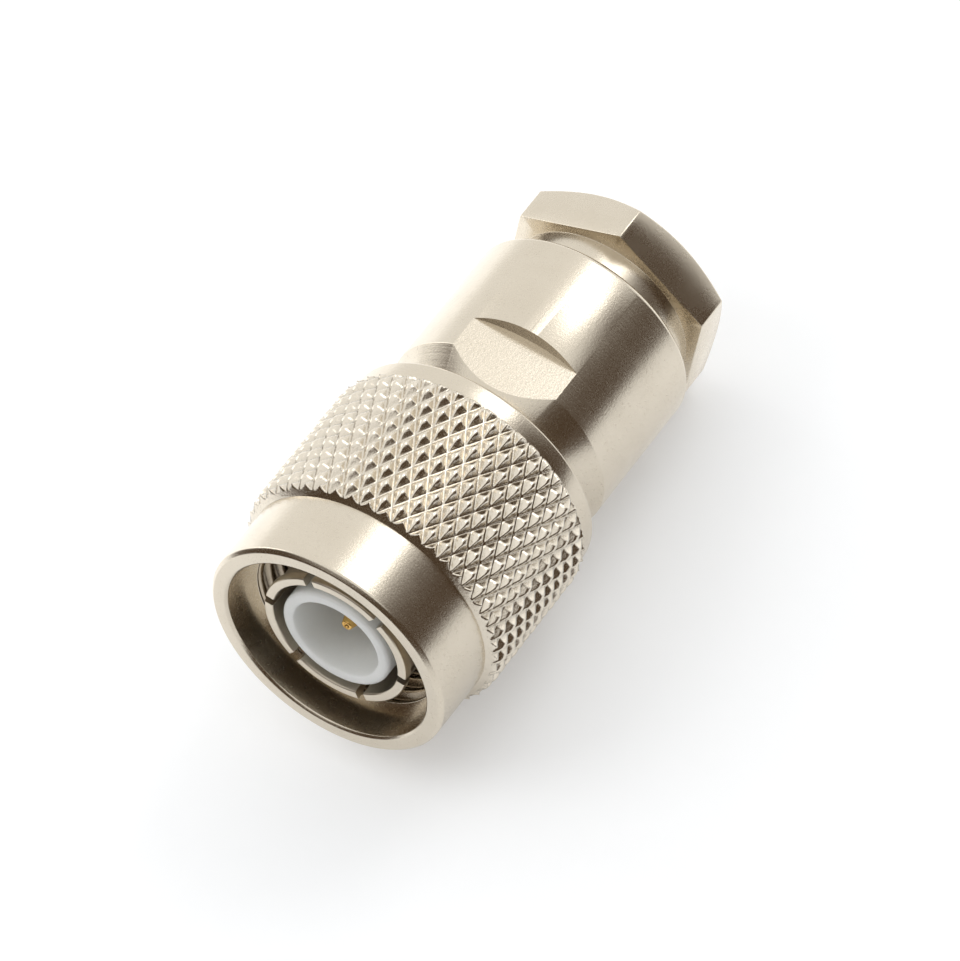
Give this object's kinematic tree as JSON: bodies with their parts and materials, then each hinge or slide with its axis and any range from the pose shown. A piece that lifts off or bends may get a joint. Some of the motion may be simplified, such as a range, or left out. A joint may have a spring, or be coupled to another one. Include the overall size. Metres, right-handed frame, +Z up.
{
  "type": "coaxial cable plug",
  "caption": "Threaded clamp-type coaxial plug with a knurled coupling nut, slotted outer contact, centre pin and hexagon clamp nut.",
  "frame": {"origin": "on the surface that the plug lies on, under the middle of its length", "axes": "+Z up; the plug's axis runs in the YZ plane from the mouth at -Y to the cable end at +Y, dipping 6.1 degrees towards the cable end, because the plug lies on the rear edges of its knurl and its barrel and has rolled until a corner of the hexagon stops it"},
  "size_m": [0.015, 0.0296, 0.0159],
  "materials": {
    "coupling_nut": "satin nickel plate",
    "body": "satin nickel plate",
    "retaining_ring": "plain spring bronze",
    "outer_contact": "nickel plate",
    "face_gasket": "matte",
    "front_insulator": "waxy white",
    "rear_insulator": "waxy white",
    "centre_contact": "gold plate",
    "braid_clamp": "nickel plate",
    "cable_gasket": "matte",
    "gland_washer": "nickel plate",
    "clamp_nut": "satin nickel plate"
  },
  "bodies": {
    "plug_body": {"body": "body", "retaining_ring": "retaining_ring", "outer_contact": "outer_contact", "face_gasket": "face_gasket", "front_insulator": "front_insulator", "rear_insulator": "rear_insulator", "centre_contact": "centre_contact", "braid_clamp": "braid_clamp", "cable_gasket": "cable_gasket"},
    "coupling_ring": {"coupling_nut": "coupling_nut"},
    "gland_slide": {"gland_washer": "gland_washer"},
    "gland_nut": {"clamp_nut": "clamp_nut"}
  },
  "joints": [
    {"name": "coupling_nut_turn", "type": "hinge", "parent": "plug_body", "child": "coupling_ring", "pos_m": [0, -0.00815, 0.00814], "axis": [0, 0.9943, -0.1063], "continuous": true},
    {"name": "clamp_nut_travel", "type": "slide", "parent": "plug_body", "child": "gland_slide", "axis": [0, 0.9943, -0.1063], "range_m": [-0.001, 0.001]},
    {"name": "clamp_nut_turn", "type": "hinge", "parent": "gland_slide", "child": "gland_nut", "pos_m": [0, 0.01075, 0.00612], "axis": [0, 0.9943, -0.1063], "range_deg": [-481, 481]}
  ],
  "couplings": [
    {"joint": "clamp_nut_turn", "follows": "clamp_nut_travel", "rad_per_m": 8377.6}
  ]
}
